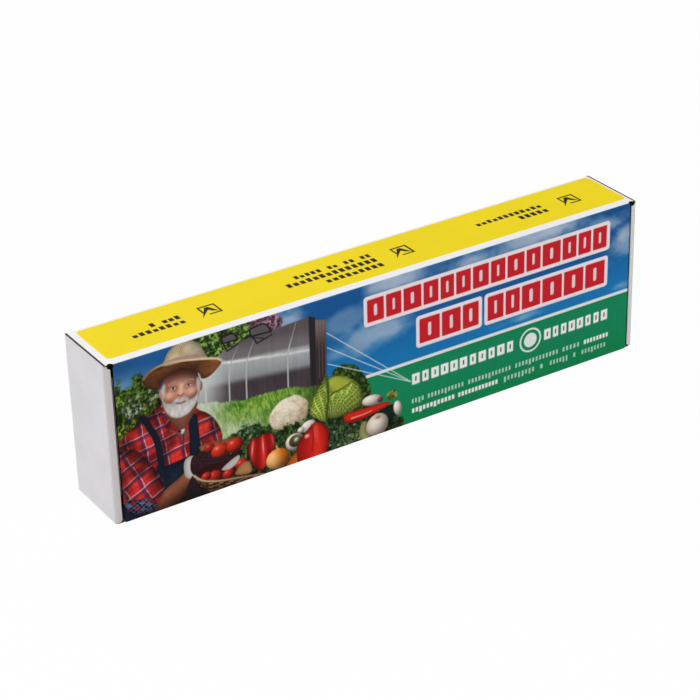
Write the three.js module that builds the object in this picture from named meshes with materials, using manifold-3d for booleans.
// A thermal vent opener in its carton. The carton is a rolled-end, tuck-front mailer that stands on
// one of its long narrow sides. Inside lie the wax-driven linear actuator with its two brackets, the
// two board cradles that hold it, a folded leaflet and a pouch of screws.
// Millimetres. X runs along the carton, the lid faces -Y, Z is up, and the origin is the middle of
// the footprint.
import * as THREE from "three";
import { mergeVertices } from "three/addons/utils/BufferGeometryUtils.js";
import Module from "manifold-3d";

// ---- Carton ----
const cartonLength = 364;
const cartonDepth = 48;
const cartonHeight = 100;
const board = 1.2; // one ply of corrugated board
const plyGap = 0.1; // air between plies that lie on each other
const foldGap = 0.3; // air where two panels meet at a fold
const lidSideGap = 1.0; // between the lid's cut end and the rolled rim
const notchRadius = 2.2; // relief hole at the end of the lid's crease
const lowerCornerCut = 2.5; // bevel on the lid's lower corners
const tabReach = 36; // how far a corner tab runs down or up the end wall
const tabChamfer = 12;
const lockTabWidth = 16;
const lockTabSpacing = 50;
const lockSlotClearance = 0.5;
const rimFlat = 0.1; // part of the board's thickness that the rim leaves square

// ---- Lid flaps ----
const flapRoot = board + 2 * foldGap; // from a fold line to the near edge of its flap
const tuckDepth = 15.5;
const tuckTilt = 8; // degrees that the tuck flap stands off the bottom wall
const tuckEndInset = 5.2;
const earDepth = 34;
const earTilt = 5; // degrees that an ear leans away from the end wall
const earTopInset = 8; // from the lid's hinge line down to the ear
const earTopTaper = 34; // drop of the ear's upper edge over its depth
const earReach = 97; // furthest point of an ear from the lid's hinge line

// ---- Actuator, along X from the rear pin ----
const stroke = 90;
const actuatorZ = cartonHeight / 2;
const boreRadius = 12;
const tubeWall = 2;
const seatGap = 0.3; // between parts that butt or slide in each other
const shoulderGap = 0.5; // each side of the wax chamber
const pinRadius = 3;
const pinClearance = 0.1;
const eyeRadius = 8;
const eyeThickness = 9;
const tongueLength = 11; // rear pin to the plug's flange
const flangeThickness = 5;
const flangeProud = 1; // flange over the tube's outside
const plugLength = 14;
const ringSection = 1.1; // half the thickness of the O-ring's cord
const ringSide = 0.2; // play of the O-ring along its groove, each side
const ringDepth = 1.25; // centre of the O-ring's cord below the bore
const rodRadius = 4;
const rodBoreGap = 0.3;
const collarRadius = 6;
const collarLength = 6;
const chamberMargin = 3; // wax behind the rod when it is fully in
const waxGap = 0.2; // wax to the bore
const waxCoreGap = 0.6; // wax to the rod's collar
const bushLength = 16;
const bushGap = 0.4; // bush to the bore
const sealRadius = 6.8;
const sealLength = 3;
const sealPlay = 0.3;
const glandThread = 12;
const glandHex = 6;
const wiperRadius = 6.4;
const wiperLength = 2.8;
const wiperLip = 0.7; // edge of the gland that keeps the wiper in
const rodShow = 2; // polished rod in front of the gland when fully in
const threadRadius = 3;
const nutThickness = 5;
const nutAcrossFlats = 10;
const barrelRadius = 6;
const barrelLength = 7;
const barrelNeck = 1.5; // barrel to the sweep of the bracket's ears
const threadGrip = 6; // depth of the rod's thread in the rod eye

// ---- Brackets, hanging from their pins ----
const bracketLength = 40;
const bracketWidth = 24;
const bracketPlate = 2.5;
const bracketRoom = 1; // rear flange to the bracket's plate
const forkPlay = 0.7; // each side of the eye
const screwHoleRadius = 2.4;
const screwHoleSpacingX = 28;
const screwHoleSpacingY = 14;
const pinHeadRadius = 4.5;
const pinHeadThickness = 2;
const pinTail = 3; // pin past the clip's side of the fork
const grooveWidth = 0.9;
const grooveRadius = 2.2;
const clipThickness = 0.6;
const clipRadius = 5.5;
const clipMouth = 3.4;

// ---- Packing ----
const packGap = 0.3; // what lies in the carton to its walls
const cradleWidth = 36;
const cradleHeight = 68.5;
const cradleInset = 32; // from each end of the tube to the middle of a cradle
const cradleFrontGap = 0.5;
const cradleReliefDepth = 14.3; // room for the tuck flap
const cradleReliefHeight = 6.5;
const leafletWidth = 90;
const leafletHeight = 64;
const leafletThickness = 1;
const contentsEndGap = 28.2; // right end of the leaflet and pouch to the inner end wall
const pouchLength = 80;
const pouchWidth = 27;
const pouchHeight = 10.4;
const pouchWall = 0.5;
const pouchBackGap = 2.7;
const screwLength = 19;
const screwRadius = 2.1;
const screwHeadRadius = 4;
const screwHeadThickness = 2.8;
const screwRows = 3;
const screwColumns = 2;
const screwSlotWidth = 1;
const screwSlotDepth = 1.2;

// ---- Facets ----
const roundSegments = 32;
const smallSegments = 24;
const screwSegments = 12;

// ---- Worked out from the sizes above ----
const halfLength = cartonLength / 2;
const front = -cartonDepth / 2;
const back = cartonDepth / 2;
const outerInside = halfLength - board;
const panelHalf = outerInside - plyGap; // long panels and the outside of the corner tabs
const tabInside = panelHalf - board;
const innerOutside = tabInside - plyGap;
const innerInside = innerOutside - board;
const rimBack = front + board;
const rimRadius = board - rimFlat;
const lidHalf = innerInside - lidSideGap;
const lidBottom = board + foldGap;
const forkInside = eyeThickness / 2 + forkPlay;
const forkOutside = forkInside + bracketPlate;
const bossHole = pinRadius + pinClearance;
const tubeRadius = boreRadius + tubeWall;
const flangeRadius = tubeRadius + flangeProud;
const bracketDrop = flangeRadius + bracketRoom + bracketPlate; // pin axis to the mounting face
const flangeEnd = tongueLength + flangeThickness;
const tubeStart = flangeEnd + seatGap;
const plugEnd = flangeEnd + plugLength;
const chamberStart = plugEnd + shoulderGap;
const chamberEnd = chamberStart + chamberMargin + collarLength + stroke;
const bushStart = chamberEnd + shoulderGap;
const bushEnd = bushStart + bushLength;
const glandStart = bushEnd + seatGap;
const tubeEnd = glandStart + glandThread - seatGap;
const glandHexStart = glandStart + glandThread;
const glandEnd = glandHexStart + glandHex;
const rodStart = chamberStart + chamberMargin;
const rodShoulder = glandEnd + rodShow;
const nutStart = rodShoulder + seatGap;
const rodEyeStart = nutStart + nutThickness + seatGap;
const rodEnd = rodEyeStart + threadGrip;
const rodPin = rodEyeStart + barrelLength + barrelNeck + eyeRadius;
const rearPinX = -(rodPin + stroke) / 2;

// ---- Materials ----
const paint = (color, roughness, metalness = 0) =>
  new THREE.MeshStandardMaterial({ color, roughness, metalness });
const printedBoard = paint(0x3f7a8c, 0.45);
const yellowBoard = paint(0xf2da24, 0.45);
const whiteBoard = paint(0xe9e7e6, 0.7);
const brownBoard = paint(0xb08a5c, 0.85);
const anodised = paint(0xb9bcc0, 0.35, 0.9);
const steel = paint(0x9a9da1, 0.3, 1);
const zincPlate = paint(0xc3c2b8, 0.4, 1);
const bronze = paint(0xb07d3e, 0.4, 1);
const blackRubber = paint(0x1b1b1c, 0.8);
const wax = paint(0xe8d9a8, 0.6);
const paper = paint(0xf4f3ee, 0.8);
const clearFilm = paint(0xdfe6ea, 0.2);

// ---- Solids ----
const wasm = await Module();
wasm.setup();

function toSolid(geometry) {
  const bare = geometry.clone();
  bare.deleteAttribute("normal");
  bare.deleteAttribute("uv");
  const merged = mergeVertices(bare, 1e-5);
  return new wasm.Manifold(new wasm.Mesh({
    numProp: 3,
    vertProperties: Float32Array.from(merged.attributes.position.array),
    triVerts: Uint32Array.from(merged.index.array),
  }));
}

function toGeometry(solid) {
  const { vertProperties, triVerts } = solid.getMesh();
  const geometry = new THREE.BufferGeometry();
  geometry.setAttribute("position", new THREE.BufferAttribute(vertProperties, 3));
  geometry.setIndex(new THREE.BufferAttribute(triVerts, 1));
  geometry.computeVertexNormals();
  return geometry;
}

const join = (...shapes) => toGeometry(shapes.map(toSolid).reduce((whole, part) => whole.add(part)));

const cut = (base, ...tools) =>
  toGeometry(tools.map(toSolid).reduce((whole, tool) => whole.subtract(tool), toSolid(base)));

// A box between two opposite corners.
function block([x0, y0, z0], [x1, y1, z1]) {
  return new THREE.BoxGeometry(x1 - x0, y1 - y0, z1 - z0)
    .translate((x0 + x1) / 2, (y0 + y1) / 2, (z0 + z1) / 2);
}

const shapeOf = (points) => new THREE.Shape(points.map(([a, b]) => new THREE.Vector2(a, b)));

const extrude = (shape, depth) =>
  new THREE.ExtrudeGeometry(shape, { depth, bevelEnabled: false, curveSegments: smallSegments / 2 });

// An outline in the YZ plane, swept along X from x0 to x1.
const slabAcrossX = (shape, x0, x1) =>
  extrude(shape, x1 - x0)
    .applyMatrix4(new THREE.Matrix4().makeBasis(
      new THREE.Vector3(0, 1, 0), new THREE.Vector3(0, 0, 1), new THREE.Vector3(1, 0, 0)))
    .translate(x0, 0, 0);

// An outline in the XZ plane, swept along Y from y0 to y1.
const slabAcrossY = (shape, y0, y1) =>
  extrude(shape, y1 - y0).rotateX(Math.PI / 2).translate(0, y1, 0);

// A profile of [distance along X, radius] pairs, turned about the X axis.
function turned(profile, segments = roundSegments) {
  const points = profile.map(([x, radius]) => new THREE.Vector2(radius, x));
  return toGeometry(toSolid(new THREE.LatheGeometry(points, segments).rotateZ(-Math.PI / 2)));
}

// A solid bar of the given profile, closed on the axis at both ends.
const bar = (profile, segments) =>
  turned([[profile[0][0], 0], ...profile, [profile.at(-1)[0], 0]], segments);

// A ring with a rectangular section.
const ring = (x0, x1, inner, outer, segments) =>
  turned([[x0, inner], [x0, outer], [x1, outer], [x1, inner], [x0, inner]], segments);

// A cylinder about the Y axis, at a place in the XZ plane.
const crossPin = (x, z, y0, y1, radius) =>
  new THREE.CylinderGeometry(radius, radius, y1 - y0, smallSegments)
    .translate(x, (y0 + y1) / 2, z);

const group = new THREE.Group();

function add(name, geometry, material, parent = group) {
  const mesh = new THREE.Mesh(geometry, material);
  mesh.name = name;
  parent.add(mesh);
}

const sides = [["left", -1], ["right", 1]];

// ---- Carton ----
const creaseNotch = (side) =>
  new THREE.SphereGeometry(notchRadius, 16, 12).translate(side * innerInside, front, cartonHeight);
const lockTabPlaces = [-1, 1].map((place) => cartonHeight / 2 + (place * lockTabSpacing) / 2);

function backPanel() {
  const slots = sides.flatMap(([, side]) => lockTabPlaces.map((z) => {
    const half = (lockTabWidth + lockSlotClearance * 2) / 2;
    const xs = [side * (innerInside - plyGap), side * (innerOutside + plyGap)].sort((a, b) => a - b);
    return block([xs[0], back - 2 * board, z - half], [xs[1], back + board, z + half]);
  }));
  const low = board + plyGap;
  const panel = block([-panelHalf, back - board, low], [panelHalf, back, cartonHeight - low]);
  return cut(panel, ...slots);
}

function topWall() {
  const wall = block(
    [-panelHalf, rimBack + foldGap, cartonHeight - board], [panelHalf, back, cartonHeight]);
  return cut(wall, creaseNotch(-1), creaseNotch(1));
}

function lidPanel() {
  const corners = shapeOf([
    [-lidHalf + lowerCornerCut, lidBottom], [lidHalf - lowerCornerCut, lidBottom],
    [lidHalf, lidBottom + lowerCornerCut], [lidHalf, cartonHeight],
    [-lidHalf, cartonHeight], [-lidHalf, lidBottom + lowerCornerCut],
  ]);
  return cut(slabAcrossY(corners, front, rimBack), creaseNotch(-1), creaseNotch(1));
}

// Both end walls are drawn for the right end and mirrored by their x values alone.
const between = (side, near, far) => (side > 0 ? [near, far] : [-far, -near]);

function endWallOuter(side) {
  const [x0, x1] = between(side, outerInside, halfLength);
  return block([x0, rimBack + plyGap, plyGap], [x1, back, cartonHeight - plyGap]);
}

// The rolled edge between the outer and the inner ply, rounded along its front.
function endRim(side) {
  const middle = (innerInside + halfLength) / 2;
  const half = (halfLength - innerInside) / 2;
  const outline = new THREE.Shape();
  outline.moveTo(-half, rimBack);
  outline.lineTo(-half, front + rimRadius);
  outline.absarc(-half + rimRadius, front + rimRadius, rimRadius, Math.PI, Math.PI * 1.5);
  outline.absarc(half - rimRadius, front + rimRadius, rimRadius, Math.PI * 1.5, Math.PI * 2);
  outline.lineTo(half, rimBack);
  const high = cartonHeight - foldGap;
  const rim = extrude(outline, high - lidBottom).translate(side * middle, 0, lidBottom);
  return cut(rim, creaseNotch(side));
}

function endWallInner(side) {
  const [x0, x1] = between(side, innerInside, innerOutside);
  const low = board + 2 * plyGap;
  const wall = block(
    [x0, rimBack + plyGap, low], [x1, back - board - plyGap, cartonHeight - low]);
  const tabs = lockTabPlaces.map((z) =>
    block([x0, 0, z - lockTabWidth / 2], [x1, back, z + lockTabWidth / 2]));
  return join(wall, ...tabs);
}

// The ear of a long wall, folded in between the two plies of an end wall.
function cornerTab(side, upper) {
  const [x0, x1] = between(side, tabInside, panelHalf);
  const rear = back - board - 2 * plyGap;
  const nose = rimBack + 1.8;
  const root = board + plyGap;
  const outline = [
    [nose, root], [rear, root], [rear, root + tabReach],
    [nose + tabChamfer, root + tabReach], [nose, root + tabReach - tabChamfer],
  ].map(([y, z]) => [y, upper ? cartonHeight - z : z]);
  return slabAcrossX(shapeOf(upper ? outline.reverse() : outline), x0, x1);
}

function makeCarton() {
  add("back_panel", backPanel(), whiteBoard);
  add("top_wall", topWall(), yellowBoard);
  add("bottom_wall", block([-panelHalf, front, 0], [panelHalf, back, board]), whiteBoard);
  for (const [name, side] of sides) {
    add(`end_wall_outer_${name}`, endWallOuter(side), whiteBoard);
    add(`end_rim_${name}`, endRim(side), whiteBoard);
    add(`end_wall_inner_${name}`, endWallInner(side), whiteBoard);
    add(`corner_tab_top_${name}`, cornerTab(side, true), brownBoard);
    add(`corner_tab_bottom_${name}`, cornerTab(side, false), brownBoard);
  }
}

// The lid with its tuck flap and two ears, folded in and shut.
function makeLid() {
  add("lid_panel", lidPanel(), printedBoard);

  const tuck = new THREE.Group();
  tuck.position.set(0, front, lidBottom);
  tuck.rotation.x = THREE.MathUtils.degToRad(tuckTilt);
  group.add(tuck);
  const tuckHalf = lidHalf - tuckEndInset;
  const tuckOutline = shapeOf([
    [-tuckHalf, flapRoot], [tuckHalf, flapRoot],
    [tuckHalf - tuckDepth / 2, tuckDepth], [-tuckHalf + tuckDepth / 2, tuckDepth],
  ]);
  add("lid_tuck_flap", extrude(tuckOutline, board), whiteBoard, tuck);

  for (const [name, side] of sides) {
    const fold = new THREE.Group();
    fold.position.set(side * lidHalf, front, cartonHeight);
    fold.rotation.z = THREE.MathUtils.degToRad(side * earTilt);
    group.add(fold);
    const bottom = -Math.sqrt(earReach ** 2 - earDepth ** 2);
    const outline = shapeOf([
      [flapRoot, -earTopInset], [flapRoot, -lidBottom - earReach + 2 * earTopInset],
      [earDepth, bottom], [earDepth, -earTopInset - earTopTaper],
    ]);
    const [x0, x1] = between(-side, 0, board);
    add(`lid_ear_${name}`, slabAcrossX(outline, x0, x1), whiteBoard, fold);
  }
}

// ---- Actuator ----
// An eye in the XZ plane with a tongue that runs along X to the given distance.
function eye(x, reach) {
  const side = Math.sign(reach);
  const outline = new THREE.Shape();
  outline.moveTo(x + reach, -eyeRadius);
  outline.lineTo(x + reach, eyeRadius);
  outline.lineTo(x, eyeRadius);
  outline.absarc(x, 0, eyeRadius, Math.PI / 2, -Math.PI / 2, side < 0);
  const hole = crossPin(x, 0, -eyeThickness, eyeThickness, bossHole);
  return [slabAcrossY(outline, -eyeThickness / 2, eyeThickness / 2), hole];
}

const hexagon = (x0, x1, cornerRadius) =>
  new THREE.CylinderGeometry(cornerRadius, cornerRadius, x1 - x0, 6)
    .rotateZ(-Math.PI / 2)
    .translate((x0 + x1) / 2, 0, 0);

function rearPlug() {
  const plugRadius = boreRadius - seatGap;
  const grooveHalf = ringSection + ringSide;
  const groove = flangeEnd + plugLength / 2;
  const grooveFloor = boreRadius - ringDepth - ringSection - ringSide;
  const body = bar([
    [tongueLength, flangeRadius], [flangeEnd, flangeRadius],
    [flangeEnd, plugRadius], [groove - grooveHalf, plugRadius],
    [groove - grooveHalf, grooveFloor], [groove + grooveHalf, grooveFloor],
    [groove + grooveHalf, plugRadius], [plugEnd - 1, plugRadius], [plugEnd, plugRadius - 1],
  ]);
  const [tongue, hole] = eye(0, tongueLength + 1);
  return cut(join(body, tongue), hole);
}

function plugRing() {
  const centre = flangeEnd + plugLength / 2;
  return new THREE.TorusGeometry(boreRadius - ringDepth, ringSection, 8, smallSegments)
    .rotateY(Math.PI / 2)
    .translate(centre, 0, 0);
}

// The bush guides the rod and holds the rod seal in a groove at its inner end.
function guideBush() {
  const outer = boreRadius - bushGap;
  const bore = rodRadius + rodBoreGap;
  const groove = bushStart + 2;
  const grooveEnd = groove + sealLength + 2 * sealPlay;
  const floor = sealRadius + sealPlay;
  return turned([
    [bushStart, bore], [bushStart, outer - 1], [bushStart + 1, outer], [bushEnd, outer],
    [bushEnd, bore], [grooveEnd, bore], [grooveEnd, floor], [groove, floor], [groove, bore],
    [bushStart, bore],
  ]);
}

// The nut that shuts the tube. Its hexagon takes the wiper in a groove behind a thin lip.
function glandNut() {
  const bore = rodRadius + rodBoreGap + 0.1;
  const lipStart = glandEnd - wiperLip;
  const groove = lipStart - wiperLength - 2 * sealPlay;
  const thread = ring(glandStart, glandHexStart + 1, bore, boreRadius - seatGap);
  const head = hexagon(glandHexStart, glandEnd, flangeRadius);
  const hollow = bar([
    [glandStart - 1, bore], [groove, bore], [groove, wiperRadius + sealPlay],
    [lipStart, wiperRadius + sealPlay], [lipStart, wiperRadius - 1], [glandEnd + 1, wiperRadius - 1],
  ]);
  return cut(join(thread, head), hollow);
}

function pistonRod() {
  return bar([
    [rodStart, collarRadius - 0.6], [rodStart + 0.6, collarRadius],
    [rodStart + collarLength, collarRadius], [rodStart + collarLength, rodRadius],
    [rodShoulder - 0.5, rodRadius], [rodShoulder, rodRadius - 0.5],
    [rodShoulder, threadRadius], [rodEnd - 0.6, threadRadius], [rodEnd, threadRadius - 0.6],
  ], smallSegments);
}

function rodEye() {
  const barrel = bar([
    [rodEyeStart, barrelRadius - 0.6], [rodEyeStart + 0.6, barrelRadius],
    [rodEyeStart + barrelLength, barrelRadius],
  ], smallSegments);
  const neck = rodPin - rodEyeStart - barrelLength + 1;
  const [tongue, hole] = eye(rodPin, -neck);
  const socket = bar([
    [rodEyeStart - 1, threadRadius + seatGap], [rodEnd + seatGap, threadRadius + seatGap],
  ], smallSegments);
  return cut(join(barrel, tongue), hole, socket);
}

// A U-shaped bracket that hangs from its pin, with four screw holes in its base.
function bracket(x) {
  const base = block(
    [x - bracketLength / 2, -bracketWidth / 2, -bracketDrop],
    [x + bracketLength / 2, bracketWidth / 2, -bracketDrop + bracketPlate]);
  const ear = new THREE.Shape();
  ear.moveTo(x + eyeRadius, -bracketDrop + 0.5);
  ear.lineTo(x + eyeRadius, 0);
  ear.absarc(x, 0, eyeRadius, 0, Math.PI);
  ear.lineTo(x - eyeRadius, -bracketDrop + 0.5);
  const holes = [-1, 1].flatMap((i) => [-1, 1].map((j) =>
    new THREE.CylinderGeometry(screwHoleRadius, screwHoleRadius, bracketDrop, screwSegments)
      .rotateX(Math.PI / 2)
      .translate(x + (i * screwHoleSpacingX) / 2, (j * screwHoleSpacingY) / 2, -bracketDrop)));
  return cut(
    join(base, slabAcrossY(ear, -forkOutside, -forkInside), slabAcrossY(ear, forkInside, forkOutside)),
    crossPin(x, 0, -bracketWidth, bracketWidth, bossHole), ...holes);
}

const clipStart = forkOutside + seatGap;

function clevisPin(x) {
  const head = -forkOutside - seatGap;
  const pin = join(
    crossPin(x, 0, head - pinHeadThickness, head, pinHeadRadius),
    crossPin(x, 0, head - pinHeadThickness / 2, forkOutside + pinTail + seatGap, pinRadius));
  const groove = cut(
    crossPin(x, 0, clipStart, clipStart + grooveWidth, pinRadius + 1),
    crossPin(x, 0, clipStart - 1, clipStart + grooveWidth + 1, grooveRadius));
  return cut(pin, groove);
}

// An open spring ring in the pin's groove, its mouth facing down.
function springClip(x) {
  const y0 = clipStart + (grooveWidth - clipThickness) / 2;
  const inner = grooveRadius + 0.2;
  const mouth = block(
    [x - clipMouth / 2, y0 - 1, -clipRadius - 1], [x + clipMouth / 2, y0 + clipThickness + 1, 0]);
  return cut(
    crossPin(x, 0, y0, y0 + clipThickness, clipRadius),
    crossPin(x, 0, y0 - 1, y0 + clipThickness + 1, inner), mouth);
}

function makeActuator() {
  const actuator = new THREE.Group();
  actuator.position.set(rearPinX, 0, actuatorZ);
  group.add(actuator);
  const fit = (name, geometry, material) => add(name, geometry, material, actuator);

  fit("rear_plug", rearPlug(), anodised);
  fit("plug_oring", plugRing(), blackRubber);
  fit("cylinder_tube", ring(tubeStart, tubeEnd, boreRadius, tubeRadius), anodised);
  fit("thermal_wax", ring(
    chamberStart, chamberEnd, collarRadius + waxCoreGap, boreRadius - waxGap, smallSegments), wax);
  fit("guide_bush", guideBush(), bronze);
  const sealStart = bushStart + 2 + sealPlay;
  fit("rod_seal", ring(
    sealStart, sealStart + sealLength, rodRadius + 0.2, sealRadius, smallSegments), blackRubber);
  fit("gland_nut", glandNut(), anodised);
  const wiperEnd = glandEnd - wiperLip - sealPlay;
  fit("rod_wiper", ring(
    wiperEnd - wiperLength, wiperEnd, rodRadius + 0.2, wiperRadius, smallSegments), blackRubber);
  fit("piston_rod", pistonRod(), steel);
  fit("rod_lock_nut", cut(
    hexagon(nutStart, nutStart + nutThickness, nutAcrossFlats / Math.sqrt(3)),
    bar([[nutStart - 1, threadRadius + seatGap],
      [nutStart + nutThickness + 1, threadRadius + seatGap]], smallSegments)), zincPlate);
  fit("rod_eye", rodEye(), anodised);
  for (const [name, x] of [["frame", 0], ["vent", rodPin]]) {
    fit(`${name}_bracket`, bracket(x), zincPlate);
    fit(`${name}_pin`, clevisPin(x), steel);
    fit(`${name}_clip`, springClip(x), steel);
  }
}

// ---- Packing ----
// A strip of board folded to a U, its two flaps notched to hold the tube from behind.
function cradle(x) {
  const low = board + packGap;
  const high = low + cradleHeight;
  const rear = back - board - plyGap;
  const near = rimBack + cradleFrontGap;
  const x0 = x - cradleWidth / 2;
  const x1 = x + cradleWidth / 2;
  const shell = cut(
    block([x0, near, low], [x1, rear, high]),
    block([x0 + board, near - 1, low - 1], [x1 - board, rear - board, high + 1]));
  const notch = new THREE.Shape();
  const notchSize = tubeRadius + packGap;
  notch.moveTo(near - 1, actuatorZ - notchSize);
  notch.lineTo(0, actuatorZ - notchSize);
  notch.absarc(0, actuatorZ, notchSize, -Math.PI / 2, Math.PI / 2);
  notch.lineTo(near - 1, actuatorZ + notchSize);
  return cut(
    shell, slabAcrossX(notch, x0 - 1, x1 + 1),
    block([x0 - 1, near - 1, low - 1],
      [x1 + 1, near + cradleReliefDepth, low + cradleReliefHeight]));
}

function screw(x, y, z) {
  const tip = 3;
  const body = bar([
    [0, screwHeadRadius - 0.9], [0.9, screwHeadRadius], [screwHeadThickness, screwHeadRadius],
    [screwHeadThickness, screwRadius], [screwLength - tip, screwRadius], [screwLength, 0.3],
  ], screwSegments);
  const reach = screwHeadRadius / 2;
  const slots = [[reach, screwSlotWidth / 2], [screwSlotWidth / 2, reach]].map(([dy, dz]) =>
    block([-1, -dy, -dz], [screwSlotDepth, dy, dz]));
  return cut(body, ...slots).translate(x, y, z);
}

function makePacking() {
  add("cradle_rear", cradle(rearPinX + tubeStart + cradleInset), brownBoard);
  add("cradle_front", cradle(rearPinX + tubeEnd - cradleInset), brownBoard);

  const right = innerInside - contentsEndGap;
  const floor = board + plyGap;
  const leafletBack = back - board - 2 * plyGap;
  add("leaflet", block(
    [right - leafletWidth, leafletBack - leafletThickness, floor],
    [right, leafletBack, floor + leafletHeight]), paper);

  const pouchBack = back - board - pouchBackGap;
  const pouchLeft = right - pouchLength;
  const pouch = cut(
    block([pouchLeft, pouchBack - pouchWidth, floor], [right, pouchBack, floor + pouchHeight]),
    block([pouchLeft + pouchWall, pouchBack - pouchWidth + pouchWall, floor + pouchWall],
      [right + 1, pouchBack - pouchWall, floor + pouchHeight - pouchWall]));
  add("hardware_pouch", pouch, clearFilm);

  const rowPitch = (pouchWidth - 2 * pouchWall) / screwRows;
  const screwZ = floor + pouchWall + packGap + screwHeadRadius;
  for (let i = 0; i < screwRows * screwColumns; i += 1) {
    const row = i % screwRows;
    const column = Math.floor(i / screwRows);
    const x = pouchLeft + pouchWall + packGap + 2 + column * (screwLength + 4);
    const y = pouchBack - pouchWall - rowPitch * (row + 0.5);
    add(`bracket_screw_${i + 1}`, screw(x, y, screwZ), zincPlate);
  }
}

makeCarton();
makeLid();
makeActuator();
makePacking();

export default group;
